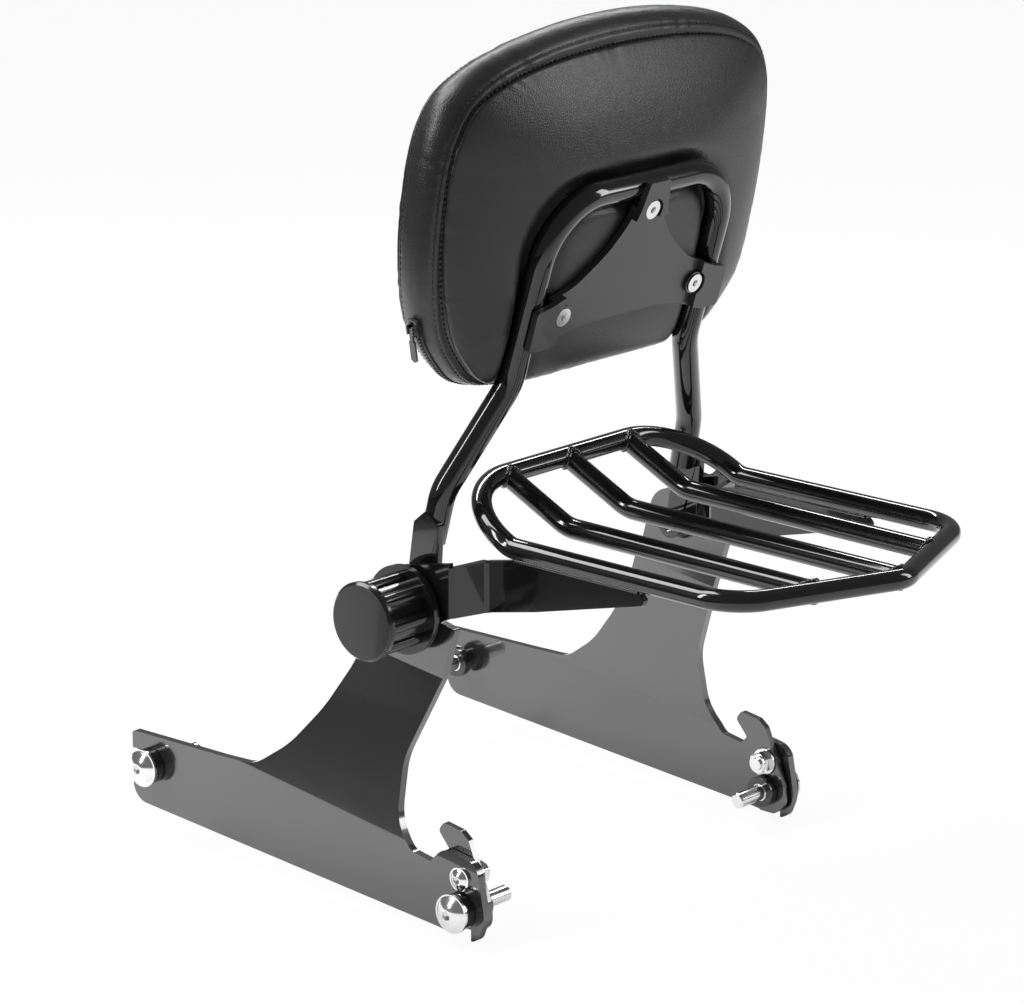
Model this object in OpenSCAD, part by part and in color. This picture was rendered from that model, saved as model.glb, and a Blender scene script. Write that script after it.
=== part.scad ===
// Detachable passenger sissy bar with backrest pad and luggage rack.
// Frame: +X to the right of the vehicle, +Y forward, +Z up, millimetres.
// Origin: midway between the two front docking studs, on their common axis.
// Sides are drawn once, at negative X, and mirrored for the right hand.

/* [Places] */
// Rear docking stud behind the front one
stud_back = 262.2; // [240:0.2:300]
// Rear docking stud below the front one
stud_drop = 29; // [15:1:45]
// Clamp axis of the knobs behind the front studs
clamp_back = 206.4; // [190:0.2:215]
// Clamp axis of the knobs above the front studs
clamp_up = 142; // [130:0.5:160]
// Outer face of the lower strip from the centre plane
strip_x = 147; // [144:0.5:160]
// Height of the strip, measured at the front stud
strip_h = 45; // [40:1:52]

/* [Side plates] */
// Thickness of the side plates
plate_t = 5; // [4:0.5:6]
// Slope of both bend lines along the plate
bend_slope = 7; // [3:0.5:9]
// Inside radius of the bends
bend_r = 5; // [3:0.5:8]
// Thickness of the latch
latch_t = 4; // [3:0.5:5]
// Gap on each side of a part that slides or turns
side_gap = 0.3; // [0.2:0.1:0.6]

/* [Upright] */
// Outer diameter of the upright tube
hoop_d = 16; // [15:0.5:17]
// Wall of the upright tube
hoop_wall = 2; // [1.5:0.25:3]
// Centre of each leg from the centre plane, behind the pad
hoop_x = 79; // [74:1:84]
// Centre of each leg from the centre plane, at the clamp
leg_x = 114; // [111:0.5:116]
// Bend radius of the two top corners
hoop_bend = 39; // [32:1:44]
// Bend radius of the two bends in each leg
leg_bend = 34; // [24:1:36]
// Angle by which the backrest leans back
lean = 16.8; // [12:0.2:20]
// Thickness of the blade at the foot of each leg
blade_t = 5; // [4:0.5:6]
// Width of the blade
blade_w = 20; // [18:0.5:22]

/* [Rack] */
// Outer diameter of the rack's outer tube
rail_d = 12.7; // [12:0.1:14]
// Wall of the rack's outer tube
rail_wall = 2; // [1.5:0.25:2.5]
// Outer diameter of the three slats
slat_d = 12.5; // [11:0.1:12.6]
// Height of the slats' bends above the flat part
slat_lift = 1.6; // [0:0.2:3]
// Wall of the slats
slat_wall = 1.5; // [1:0.25:2]
// Centre of each side rail from the centre plane
rail_x = 104.7; // [100:0.1:106]
// Distance between the slats
slat_pitch = 54.6; // [50:0.2:58]
// Level of the flat part above the clamp axis
rack_up = 41.9; // [38:0.1:46]
// Rise of the front tube above the flat part
rack_rise = 25; // [24:0.5:30]
// Front tube behind the clamp axis
rack_front = 7.2; // [4:0.2:14]
// Point of the rear edge behind the clamp axis
rack_back = 263.8; // [240:0.2:285]
// Angle by which each half of the rear edge sweeps back
rack_sweep = 20.9; // [12:0.1:24]
// Thickness of the rack's two brackets
bracket_t = 4; // [3:0.5:5]

/* [Knobs and studs] */
// Radius of the knob's flange
knob_flange_r = 27; // [25:0.5:30]
// Radius of the knob's face
knob_face_r = 24; // [22:0.5:25]
// Length of the knob, flange included
knob_len = 38; // [32:0.5:44]
// Number of ribs around the knob
knob_ribs = 8; // [6:1:10]
// Radius of the knob's clamp stud
clamp_r = 5; // [4:0.5:6]
// Radius of a docking stud's shank
dock_r = 5; // [4:0.5:5.5]
// Radius of a docking stud inside its bushing
dock_body_r = 5.6; // [5:0.1:6]
// Radius of a docking stud's head
dock_head_r = 12.1; // [11:0.1:13]
// Radius of the neck that the side plate drops over
neck_r = 7.5; // [7:0.1:8]
// Free length of shank that enters the vehicle's strut
dock_reach = 22; // [16:1:30]

/* [Pad] */
// Half of the pad's greatest width, at the seams
pad_half_w = 143; // [136:1:150]
// Top of the pad above the backrest's reference point
pad_top = 152; // [148:1:160]
// Bottom of the pad below the backrest's reference point
pad_bottom = 48.5; // [46:0.5:52]
// Depth of the sewn band between its two seams
band_d = 33; // [28:1:40]
// Outward swell of the band along the sides and the bottom
band_swell = 5; // [2:0.5:7]
// Further swell of the band at the top
top_swell = 8; // [0:0.5:10]
// Crown of the front panel
crown_front = 17; // [10:1:20]
// Crown of the back panel
crown_back = 28; // [24:0.5:30]
// Rear seam in front of the plane of the legs
seam_o = 17.3; // [17:0.1:22]
// Angle between the pad and the plane of the legs
pad_tilt = 7.4; // [5:0.1:8]
// Thickness of the board inside the pad
board_t = 8; // [6:0.5:10]
// Thickness of the steel plate behind the pad
pad_plate_t = 4; // [3:0.5:4.5]

/* [Hidden] */
$fn = 48;
bend_loss = 0.05;            // a bent tube is this much thinner in its bends
bend_lap = 0.6;              // straight pieces reach this far into a bend

black = "#101012";
bright = "#d8d8da";
seat = 0.05;                 // radial play of a shaft in its own bore
play = 0.5;                  // radial play of a bolt in a plain hole
far = 400;                   // longer than any cut needs to be

// Stack of parts along the clamp axis, outward from the leg
blade_face = leg_x + hoop_d / 2;
tab_face = blade_face + plate_t;
bracket_face = tab_face + bracket_t;
washer_t = 1.4;
washer_r = 19;
knob_base = bracket_face + 2 * washer_t + side_gap;
knob_flange_t = 4;
boss_len = 12;
boss_r = 9;

// Stack of parts along a docking stud and along the latch bolt
strip_in = strip_x - plate_t;
spacer_t = 1.6;
latch_face = strip_in - spacer_t - side_gap;
latch_in = latch_face - latch_t;
cap_len = 7.5;
cap_r = 11.2;
head_len = 6;
shoulder_r = 10;
shoulder_len = 6;
shoulder_x = latch_in - side_gap;
strut_x = shoulder_x - shoulder_len;
pivot_up = 19.2;             // latch bolt above the rear stud
pivot_y = -stud_back + 0.6;
pivot_z = -stud_drop + pivot_up;
pivot_r = 4;
pivot_head_r = 7.4;
pivot_head_len = 4.4;
nut_len = 6.5;
nut_r = 7.5;
hook_gap = 0.7;

// Backrest plane: a point between the legs, and how far the hoop's top is above it
back_y = -45.5;
back_z = 171;
hoop_top = 75.2;

// Geometry helpers
function unit(v) = v / norm(v);
function turn(a, b, c) = acos(min(1, max(-1, unit(b - a) * unit(c - b))));
function cut(a, b, c, r) = r * tan(turn(a, b, c) / 2);
function arc(cx, cy, r, a0, a1, n) =
    [for (i = [0 : n]) let (a = a0 + (a1 - a0) * i / n) [cx + r * cos(a), cy + r * sin(a)]];

// One rounded corner: a, b, c are points and r is the radius at b
function corner(a, b, c, r, n) =
    let (u = unit(b - a), w = unit(c - b), t = turn(a, b, c))
    r == 0 || t < 0.5 ? [b] :
    let (side = cross(u, w) > 0 ? 1 : -1,
         p = b - u * cut(a, b, c, r),
         m = p + side * r * [-u[1], u[0]],
         s = atan2(p[1] - m[1], p[0] - m[0]))
    [for (i = [0 : n]) let (q = s + side * t * i / n) m + r * [cos(q), sin(q)]];

// Outline whose corners are given as [x, y, radius]
function rounded(c, n = 6) =
    let (k = len(c), p = [for (q = c) [q[0], q[1]]])
    [for (i = [0 : k - 1]) each corner(p[(i + k - 1) % k], p[i], p[(i + 1) % k], c[i][2], n)];

// Cross-section of a tube: outer radius r, wall w, solid if w is 0
module tube_face(r, w) {
    difference() {
        circle(r = r);
        if (w > 0) circle(r = r - w);
    }
}

// Straight piece between two points
module straight(a, b, r, w) {
    d = b - a;
    translate(a) rotate([0, acos(d[2] / norm(d)), atan2(d[1], d[0])])
        linear_extrude(norm(d)) tube_face(r, w);
}

// Bend at b, tangent to a-b and b-c, drawn a hair thinner as a bent tube is
module bend(a, b, c, bend_at, r, w) {
    u = unit(b - a);
    m = unit(unit(c - b) - u);
    t = turn(a, b, c);
    o = b + m * bend_at / cos(t / 2);
    e = unit(b - u * cut(a, b, c, bend_at) - o);
    n = cross(e, u);
    multmatrix([[e[0], u[0], n[0], o[0]], [e[1], u[1], n[1], o[1]],
                [e[2], u[2], n[2], o[2]], [0, 0, 0, 1]])
        rotate_extrude(angle = t) translate([bend_at, 0])
            tube_face(r - bend_loss, w > 0 ? w - 2 * bend_loss : 0);
}

// Bar along a path with a bend radius at every inner point
module bent_bar(path, bends, r, w = 0) {
    n = len(path);
    function trim(i) = i == 0 || i == n - 1 ? 0 :
        cut(path[i - 1], path[i], path[i + 1], bends[i]) - bend_lap;
    for (i = [0 : n - 2]) {
        u = unit(path[i + 1] - path[i]);
        straight(path[i] + u * trim(i), path[i + 1] - u * trim(i + 1), r, w);
    }
    for (i = [1 : n - 2])
        bend(path[i - 1], path[i], path[i + 1], bends[i], r, w);
}

// Bar along a closed path
module bent_ring(path, bends, r, w = 0) {
    n = len(path);
    function at(i) = path[(i + n) % n];
    function trim(i) = cut(at(i - 1), at(i), at(i + 1), bends[(i + n) % n]) - bend_lap;
    for (i = [0 : n - 1]) {
        u = unit(at(i + 1) - at(i));
        straight(at(i) + u * trim(i), at(i + 1) - u * trim(i + 1), r, w);
        bend(at(i - 1), at(i), at(i + 1), bends[i], r, w);
    }
}

// Turns local +Z to point outward on the left, from a distance x off the centre plane
module outward(x, y, z) {
    translate([-x, y, z]) rotate([0, -90, 0]) children();
}

// Extrudes a side outline in Y and Z between two distances off the centre plane, on the left
module side_slab(x_in, x_out) {
    translate([-x_out, 0, 0]) rotate([90, 0, 90]) linear_extrude(x_out - x_in) children();
}

module at_clamp() {
    translate([0, -clamp_back, clamp_up]) children();
}

// Local X across, Y forward out of the backrest, Z up along it
module on_back() {
    at_clamp() translate([0, back_y, back_z]) rotate([lean, 0, 0]) children();
}

module right_hand() {
    mirror([1, 0, 0]) children();
}

// Side plate: a flat strip with the rear lobe, and a neck that leans in to a vertical tab
neck_root = 29.4;            // height of the lower bend line above the front stud
bend_a = bend_slope;
lower_w = neck_root * cos(bend_a);
upper_w = lower_w + 99.6;
bottom_front = -strip_h + 18.9;
bottom_rear = -stud_drop - 15;
slot_r = neck_r + seat;

module plate_shape() {
    polygon(rounded([
        [17.5, 18.8, 2], [17.5, bottom_front, 12], [-stud_back + 21, bottom_rear, 1],
        [-stud_back - 12, bottom_rear - 3.5, 8], [-stud_back - 18.5, -stud_drop - 2, 20],
        [-stud_back - 12, pivot_z + 11, 10], [pivot_y + 15, pivot_z + 15, 9],
        [-stud_back + 25, pivot_z + 5.2, 2], [-clamp_back - 15, -2, 9], [-clamp_back - 2, 14, 30],
        [-clamp_back - 1, clamp_up - 92, 40], [-clamp_back - 22.5, clamp_up - 41, 30],
        [-clamp_back - 33, clamp_up - 8.5, 1.5], [-clamp_back - 17, clamp_up - 5, 3],
        [-clamp_back - 17, clamp_up + 17, 15], [-clamp_back + 26, clamp_up + 17, 17],
        [-clamp_back + 36, clamp_up - 20, 40], [-clamp_back + 48.5, clamp_up - 47, 80],
        [-clamp_back + 66, clamp_up - 75, 120], [-clamp_back + 90, clamp_up - 102.5, 80],
        [-90, 21.2, 28], [-62, 20.2, 1]
    ]));
}

// Cross-section of the bent sheet: its outer face runs strip, neck, tab
function sheet_face(d) =
    let (a = atan2(strip_x - tab_face, upper_w - lower_w))
    rounded([
        [-strip_x + d, -60, 0], [-strip_x + d, lower_w - d * tan(a / 2), bend_r + plate_t - d],
        [-tab_face + d, upper_w - d * tan(a / 2), bend_r + d], [-tab_face + d, 260, 0]
    ], 4);

module bent_sheet() {
    outer = sheet_face(0);
    inner = sheet_face(plate_t);
    n = len(inner);
    rotate([bend_a, 0, 0]) translate([0, far / 2, 0]) rotate([90, 0, 0])
        linear_extrude(far * 1.5)
            polygon(concat(outer, [for (i = [n - 1 : -1 : 0]) inner[i]]));
}

module side_plate() {
    color("#3a3a3c") difference() {
        intersection() {
            bent_sheet();
            side_slab(tab_face - 2 * plate_t, strip_x + plate_t) plate_shape();
        }
        // Front slot, open forward
        outward(strip_in - play, 0, 0) cylinder(h = plate_t + 2 * play, r = slot_r);
        side_slab(strip_in - play, strip_x + play) translate([0, -slot_r]) square([30, 2 * slot_r]);
        // Rear notch, open downward
        outward(strip_in - play, -stud_back, -stud_drop) cylinder(h = plate_t + 2 * play, r = slot_r);
        side_slab(strip_in - play, strip_x + play)
            translate([-stud_back - slot_r, -stud_drop - 30]) square([2 * slot_r, 30]);
        // Holes for the latch bolt and for the clamp stud
        outward(strip_in - play, pivot_y, pivot_z) cylinder(h = plate_t + 2 * play, r = pivot_r + seat);
        outward(blade_face - play, -clamp_back, clamp_up)
            cylinder(h = plate_t + 2 * play, r = clamp_r + play);
    }
}

// Latch: thumb tab above, hook below that closes under the rear stud's neck
module latch_outline() {
    hook_in = pivot_up + neck_r + hook_gap;
    hook_out = hook_in + 6;
    round_hole = neck_r + hook_gap;
    neck_at = norm([stud_back + pivot_y, pivot_up]);
    difference() {
        union() {
            translate([pivot_y, pivot_z]) circle(r = 9.5);
            polygon(rounded([
                [pivot_y + 24, pivot_z + 23, 3], [pivot_y + 20, pivot_z + 28.5, 2],
                [pivot_y + 6, pivot_z + 26.5, 2], [pivot_y, pivot_z + 22, 3],
                [pivot_y - 8, pivot_z + 3, 3], [pivot_y - 15, pivot_z - 14, 6],
                [pivot_y - 16, pivot_z - hook_out + 6, 9], [pivot_y - 8, pivot_z - hook_out, 4],
                [pivot_y + 4, pivot_z - hook_out, 1.5], [pivot_y + 9, pivot_z, 3],
                [pivot_y + 16, pivot_z + 14, 4]
            ]));
        }
        translate([pivot_y, pivot_z]) circle(r = pivot_r + seat);
        // Seat round the neck, and the neck's path past the hook while the latch opens
        translate([-stud_back, -stud_drop]) circle(r = round_hole);
        translate([pivot_y, pivot_z]) intersection() {
            difference() {
                circle(r = neck_at + round_hole);
                circle(r = neck_at - round_hole);
            }
            polygon([[0, 0], far * [0, -1], far * [1, -1], far * [1, 0.3]]);
        }
    }
}

module latch() {
    color(black) side_slab(latch_in, latch_face) latch_outline();
}

// Bolt with a domed head and a hex socket, drawn upward from its bearing face
module dome_head(r, len, socket) {
    rim = 1.6;
    dome_r = (pow(r - 1, 2) + pow(len - rim, 2)) / (2 * (len - rim));
    difference() {
        union() {
            cylinder(h = rim, r = r);
            intersection() {
                translate([0, 0, len - dome_r]) sphere(r = dome_r);
                cylinder(h = len, r = r - 1);
            }
        }
        translate([0, 0, len - 2.6]) cylinder(h = 4, r = socket, $fn = 6);
    }
}

module latch_bolt() {
    tail = latch_in - side_gap - washer_t - nut_len - 1.5;
    color(bright) {
        outward(strip_x, pivot_y, pivot_z) dome_head(pivot_head_r, pivot_head_len, 2.6);
        outward(tail, pivot_y, pivot_z) cylinder(h = strip_x - tail, r = pivot_r);
    }
}

// Washer under the nut, and a spacer that keeps the latch off the plate where it leans in
module latch_washer() {
    color(bright) difference() {
        union() {
            outward(latch_in - side_gap - washer_t, pivot_y, pivot_z) cylinder(h = washer_t, r = nut_r + 1);
            outward(latch_face + side_gap, pivot_y, pivot_z) cylinder(h = spacer_t, r = pivot_r + 1.9);
        }
        outward(latch_in - 10, pivot_y, pivot_z) cylinder(h = 20, r = pivot_r + seat);
    }
}

module latch_nut() {
    color(bright) outward(latch_in - side_gap - washer_t - nut_len, pivot_y, pivot_z) difference() {
        union() {
            translate([0, 0, 1.5]) cylinder(h = nut_len - 1.5, r = nut_r, $fn = 6);
            cylinder(h = nut_len - 1, r = nut_r * 0.8);
        }
        translate([0, 0, -1]) cylinder(h = nut_len + 2, r = pivot_r);
    }
}

// Docking stud: bright domed head outside its bushing, free shank inboard
module dock_stud(y, z) {
    color(bright) {
        outward(strip_x + side_gap + cap_len, y, z) dome_head(dock_head_r, head_len, 3.2);
        outward(strut_x, y, z) cylinder(h = strip_x + side_gap + cap_len - strut_x, r = dock_body_r);
        outward(strut_x - dock_reach, y, z) difference() {
            cylinder(h = dock_reach + 1, r = dock_r);
            difference() {
                translate([0, 0, -1]) cylinder(h = 2, r = dock_r + 1);
                cylinder(h = 1.001, r1 = dock_r - 1, r2 = dock_r);
            }
        }
    }
}

// Bushing: cap outside the plate, neck through it, shoulder against the strut
module dock_bushing(y, z) {
    color(black) outward(strut_x, y, z) difference() {
        union() {
            cylinder(h = shoulder_len, r = shoulder_r);
            cylinder(h = strip_x + side_gap - strut_x, r = neck_r);
            translate([0, 0, strip_x + side_gap - strut_x]) cylinder(h = cap_len, r = cap_r);
        }
        translate([0, 0, -1]) cylinder(h = far, r = dock_body_r);
    }
}

// Clamp knob: ribbed grip between a flange and a bevelled face disc
module knob() {
    rib_r = 4.6;
    rib_at = knob_face_r - rib_r - 0.4;
    core_r = knob_face_r - 4;
    disc_t = 4;
    color(black) outward(knob_base, -clamp_back, clamp_up) difference() {
        union() {
            cylinder(h = knob_flange_t, r = knob_flange_r);
            cylinder(h = knob_len - 1, r = core_r);
            for (i = [0 : knob_ribs - 1])
                rotate(i * 360 / knob_ribs) translate([rib_at, 0, knob_flange_t - 1])
                    cylinder(h = knob_len - knob_flange_t - 1.6, r = rib_r);
            translate([0, 0, knob_len - disc_t]) cylinder(h = disc_t - 1.6, r = knob_face_r);
            translate([0, 0, knob_len - 1.6])
                cylinder(h = 1.6, r1 = knob_face_r, r2 = knob_face_r - 1.6);
        }
        translate([0, 0, -1]) cylinder(h = knob_len - 8 + 1, r = clamp_r);
        translate([0, 0, knob_len - 16]) cylinder(h = 8, r = clamp_r + 3);
    }
}

// Steel stud moulded into the knob, with a knurled collar as its anchor
module knob_stud() {
    reach = knob_base - blade_face + blade_t + boss_len - 2;
    color(bright) outward(knob_base - reach, -clamp_back, clamp_up) {
        cylinder(h = reach + knob_len - 8, r = clamp_r);
        translate([0, 0, reach + knob_len - 16]) cylinder(h = 8, r = clamp_r + 3);
    }
}

module knob_washers() {
    color(black) outward(bracket_face, -clamp_back, clamp_up) {
        for (i = [0 : 1])
            translate([0, 0, i * washer_t]) difference() {
                cylinder(h = washer_t, r = washer_r + 1.5 * i);
                translate([0, 0, -1]) cylinder(h = washer_t + 2, r = clamp_r + play);
            }
    }
}

// Threaded boss welded inside the blade
module clamp_boss() {
    color(black) outward(blade_face - blade_t - boss_len, -clamp_back, clamp_up) difference() {
        cylinder(h = boss_len, r = boss_r);
        translate([0, 0, -1]) cylinder(h = boss_len + 2, r = clamp_r + seat);
    }
}

// Upright: one bent tube, both ends cut square above the blades
function leg(s) = [
    [s * leg_x, -3, 38],
    [s * (leg_x - 2), -9.9, 68.9],
    [s * hoop_x, -32.9, 131.9],
    [s * hoop_x, back_y - hoop_top * sin(lean), back_z + hoop_top * cos(lean)]
];

module upright_bar(r, w = 0) {
    left = leg(-1);
    right = leg(1);
    path = [left[0], left[1], left[2], left[3], right[3], right[2], right[1], right[0]];
    bent_bar(path, [0, leg_bend, leg_bend, hoop_bend, hoop_bend, leg_bend, leg_bend, 0], r, w);
}

module blade_blank(x_in, x_out, grow) {
    side_slab(x_in, x_out) polygon(concat(
        arc(0, 0, blade_w / 2 + 2 + grow, 180, 360, 12),
        [[blade_w / 2 + 0.5 + grow, 12], [blade_w / 2 - 5.5 + grow, 50], [-5, 58 + grow],
         [-blade_w / 2 - 5.5 - grow, 50]]));
}

module upright_tube() {
    color(black) at_clamp() difference() {
        upright_bar(hoop_d / 2, hoop_wall);
        blade_blank(blade_face - blade_t, blade_face + 1, 0);
        right_hand() blade_blank(blade_face - blade_t, blade_face + 1, 0);
    }
}

// Blade: flat bar let into the outer side of the tube's foot
module leg_blade() {
    color(black) at_clamp() difference() {
        blade_blank(blade_face - blade_t, blade_face, 0);
        outward(blade_face - blade_t - 1, 0, 0) cylinder(h = blade_t + 2, r = clamp_r + play);
    }
}

// Plate behind the pad: three arms, their ends stepped back over the tube
arm_end = hoop_x + hoop_d / 2 - 1;
plate_back = hoop_d / 2;
screw_side = 59.5;
screw_low = 3.6;
screw_high = 63;
screw_places = [[-screw_side, screw_low], [screw_side, screw_low], [0, screw_high]];

module plate_outline() {
    right = [
        [9, hoop_top + 6.7, 2], [13, 58, 40], [29, 38, 60], [51, 21.5, 40], [73, 13.5, 20],
        [arm_end - 1, 11, 2], [arm_end - 1, -15, 2], [70, -15, 14], [48, -9, 30], [30, -6.5, 20]
    ];
    left = [for (i = [len(right) - 1 : -1 : 0]) [-right[i][0], right[i][1], right[i][2]]];
    polygon(rounded(concat(right, left), 5));
}

// Slab of the plate between two depths, cut from the outline
module plate_slab(o_back, o_front) {
    translate([0, o_front, 0]) rotate([90, 0, 0]) linear_extrude(o_front - o_back) plate_outline();
}

step_w = 7;                  // length of each step in the plate
module pad_plate() {
    t = pad_plate_t;
    edge = hoop_x - hoop_d / 2 - 2;
    top_edge = hoop_top - hoop_d / 2 - 2;
    color(black) on_back() difference() {
        union() {
            // Middle, level with the back of the tube
            intersection() {
                plate_slab(-plate_back, -plate_back + t);
                translate([-edge, -20, -40]) cube([2 * edge, 40, 40 + top_edge]);
            }
            // Arm ends, on the back of the tube
            intersection() {
                plate_slab(-plate_back - t, -plate_back);
                union() {
                    for (s = [-1, 1])
                        translate([s > 0 ? edge - step_w : -far, -20, -40])
                            cube([far - edge + step_w, 40, 80]);
                    translate([-40, -20, top_edge - step_w]) cube([80, 40, 60]);
                }
            }
        }
        // Hole and spot face for each cup
        for (p = screw_places) {
            translate([p[0], 1, p[1]]) rotate([90, 0, 0]) cylinder(h = 20, r = cup_neck_r);
            translate([p[0], -plate_back, p[1]]) rotate([90, 0, 0]) cylinder(h = 20, r = cup_r + side_gap);
        }
    }
}

// Pad's own frame: the rear seam lies in its plane Y = 0, a little steeper than the legs
module on_pad() {
    on_back() translate([0, seam_o, 0]) rotate([-pad_tilt, 0, 0]) children();
}

// Countersunk socket screws in dark cups, into threaded inserts in the board
cup_neck_r = 4.6;
screw_r = 3;
screw_head_r = 5.9;
cup_r = 7.2;
cup_t = 2.2;
insert_r = 4.5;
insert_len = board_t + 3;
// Near end of the insert in front of the plate's back face, at height v on the backrest
function insert_at(v) = plate_back + seam_o + v * tan(pad_tilt) - 1;

// Local +Z backward, origin on the plate's back face; $reach is the way to the insert
module at_screws() {
    on_back() for (p = screw_places) {
        $reach = insert_at(p[1]);
        translate([p[0], -plate_back, p[1]]) rotate([90, 0, 0]) children();
    }
}

module pad_screws() {
    color(bright) at_screws() difference() {
        union() {
            translate([0, 0, cup_t - 1.6]) cylinder(h = 2.4, r1 = screw_r, r2 = screw_head_r);
            translate([0, 0, 2 - $reach - insert_len])
                cylinder(h = $reach + insert_len - 1, r = screw_r);
        }
        translate([0, 0, cup_t - 1]) cylinder(h = 4, r = 2.3, $fn = 6);
    }
}

module pad_screw_cups() {
    color(black) at_screws() difference() {
        union() {
            cylinder(h = cup_t, r = cup_r);
            translate([0, 0, -2]) cylinder(h = 3, r = cup_neck_r);
        }
        translate([0, 0, cup_t - 1.6]) cylinder(h = 2.4, r1 = screw_r, r2 = screw_head_r);
        translate([0, 0, -3]) cylinder(h = 5, r = screw_r);
    }
}

module pad_inserts() {
    color("#c8a850") at_screws() translate([0, 0, -$reach - insert_len]) difference() {
        cylinder(h = insert_len, r = insert_r);
        translate([0, 0, -1]) cylinder(h = insert_len + 2, r = screw_r);
    }
}

// Half outline of the pad at its seams, as parts of its half width and of its bottom or top
pad_shape = [
    [0, -1], [0.37, -1], [0.58, -0.965], [0.705, -0.845], [0.79, -0.63], [0.876, -0.32],
    [0.928, 0], [0.968, 0.144], [0.993, 0.3], [1, 0.458], [0.993, 0.6], [0.963, 0.73],
    [0.885, 0.845], [0.735, 0.918], [0.545, 0.962], [0.294, 0.99], [0, 1]
];
pad_half = [for (p = pad_shape) [p[0] * pad_half_w, p[1] * (p[1] < 0 ? pad_bottom : pad_top)]];
pad_points = concat(pad_half, [for (i = [len(pad_half) - 2 : -1 : 1]) [-pad_half[i][0], pad_half[i][1]]]);

// Closed smooth curve through the points, n steps for each
function smooth(p, n) =
    let (k = len(p))
    [for (i = [0 : k - 1], j = [0 : n - 1])
        let (a = p[(i + k - 1) % k], b = p[i], c = p[(i + 1) % k], d = p[(i + 2) % k], t = j / n)
        (2 * b + (c - a) * t + (2 * a - 5 * b + 4 * c - d) * t * t
            + (3 * b - a - 3 * c + d) * t * t * t) / 2];

pad_outline = smooth(pad_points, 2);
pad_n = len(pad_outline);
pad_mid = (pad_top - pad_bottom) / 2;
function shrunk(s) = [for (p = pad_outline) [p[0] * s, pad_mid + (p[1] - pad_mid) * s]];

module board_slab() {
    translate([0, board_t + 1, 0]) rotate([90, 0, 0]) linear_extrude(board_t) polygon(shrunk(0.86));
}

module pad_board() {
    color("#b08a5a") difference() {
        on_pad() board_slab();
        at_screws() translate([0, 0, -$reach - 2 * insert_len]) cylinder(h = 3 * insert_len, r = insert_r);
    }
}

// Distance from a point of the backrest plane to the centre line of the hoop
function hoop_gap(x, v) =
    let (ax = abs(x), cx = hoop_x - hoop_bend, cv = hoop_top - hoop_bend)
    ax > cx && v > cv ? abs(norm([ax - cx, v - cv]) - hoop_bend) :
    v > cv ? abs(hoop_top - v) : abs(ax - hoop_x);

// Depth of the back panel: crowned, resting on the plate, with the hoop pressed into it
groove_w = 13;
groove_o = hoop_d / 2 + 2.6;
rest_o = pad_plate_t - plate_back + seat;
function pad_depth(o, w) = (o - seam_o - w * sin(pad_tilt)) / cos(pad_tilt);
function back_depth(s, x, w) =
    let (soft = 0.42 + 0.45 * min(1, max(0, (w + 10) / 100)),
         crown = max(pad_depth(rest_o, w), -crown_back * pow(max(0, 1 - s * s), soft)),
         floor_d = pad_depth(groove_o, w),
         g = exp(-pow(hoop_gap(x, w * cos(pad_tilt) - floor_d * sin(pad_tilt)) / groove_w, 4)))
    crown + max(0, floor_d - crown) * g;

function front_depth(s) = band_d + crown_front * pow(max(0, 1 - s * s), 0.5);

// Outline of the band a part b of the way to its greatest swell
function swollen(b) = [for (p = pad_outline)
    let (d = [p[0], p[1] - pad_mid], high = max(0, d[1] / (pad_top - pad_mid)))
    p + unit(d) * b * (band_swell + top_swell * high * high)];

// Rings of points from the middle of the back, over the band, to the middle of the front
back_steps = [0.12, 0.24, 0.34, 0.42, 0.48, 0.53, 0.58, 0.63, 0.68, 0.73, 0.78, 0.83, 0.88, 0.93, 0.97, 1];
zip_w = 7;
flat_part = 0.5 - zip_w / 2 / band_d;
band_steps = [0.2, flat_part, 1 - flat_part, 0.8];
front_steps = [1, 0.985, 0.95, 0.89, 0.8, 0.65, 0.45, 0.2];
pad_rings = concat(
    [for (s = back_steps) [for (p = shrunk(s)) [p[0], back_depth(s, p[0], p[1]), p[1]]]],
    [for (t = band_steps) [for (p = swollen(min(1, sin(180 * t) / sin(180 * flat_part))))
        [p[0], t * band_d, p[1]]]],
    [for (s = front_steps) [for (p = shrunk(s)) [p[0], front_depth(s), p[1]]]]);

module pad_solid() {
    rows = len(pad_rings);
    body = [for (r = pad_rings) each r];
    pts = concat(body, [[0, back_depth(0, 0, pad_mid), pad_mid], [0, front_depth(0), pad_mid]]);
    c0 = len(body);
    last = (rows - 1) * pad_n;
    sides = [for (r = [0 : rows - 2], i = [0 : pad_n - 1])
        let (j = (i + 1) % pad_n, a = r * pad_n) each
            [[a + i, a + pad_n + i, a + j], [a + j, a + pad_n + i, a + pad_n + j]]];
    caps = [for (i = [0 : pad_n - 1]) let (j = (i + 1) % pad_n) each
        [[c0, i, j], [c0 + 1, last + j, last + i]]];
    polyhedron(pts, concat(sides, caps), convexity = 6);
}

module pad() {
    color("#1c1c1e") difference() {
        on_pad() pad_solid();
        on_pad() board_slab();
        at_screws() {
            translate([0, 0, -$reach - insert_len]) cylinder(h = insert_len, r = insert_r);
            translate([0, 0, -$reach]) cylinder(h = $reach + 5, r = screw_r + play);
        }
    }
}

// Zip along the lower half of the band, slider at its left end
zip_t = 0.9;
zip_end = -1;                // level of both ends of the zip

// Local +Z outward from the band where the zip begins, local +X down along it
slider_x = -pad_half_w * 0.925 - band_swell;
slider_lean = 18;
module at_slider() {
    on_pad() translate([slider_x, band_d / 2, zip_end]) rotate([0, -90 - slider_lean, 0])
        rotate(180) children();
}

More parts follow.
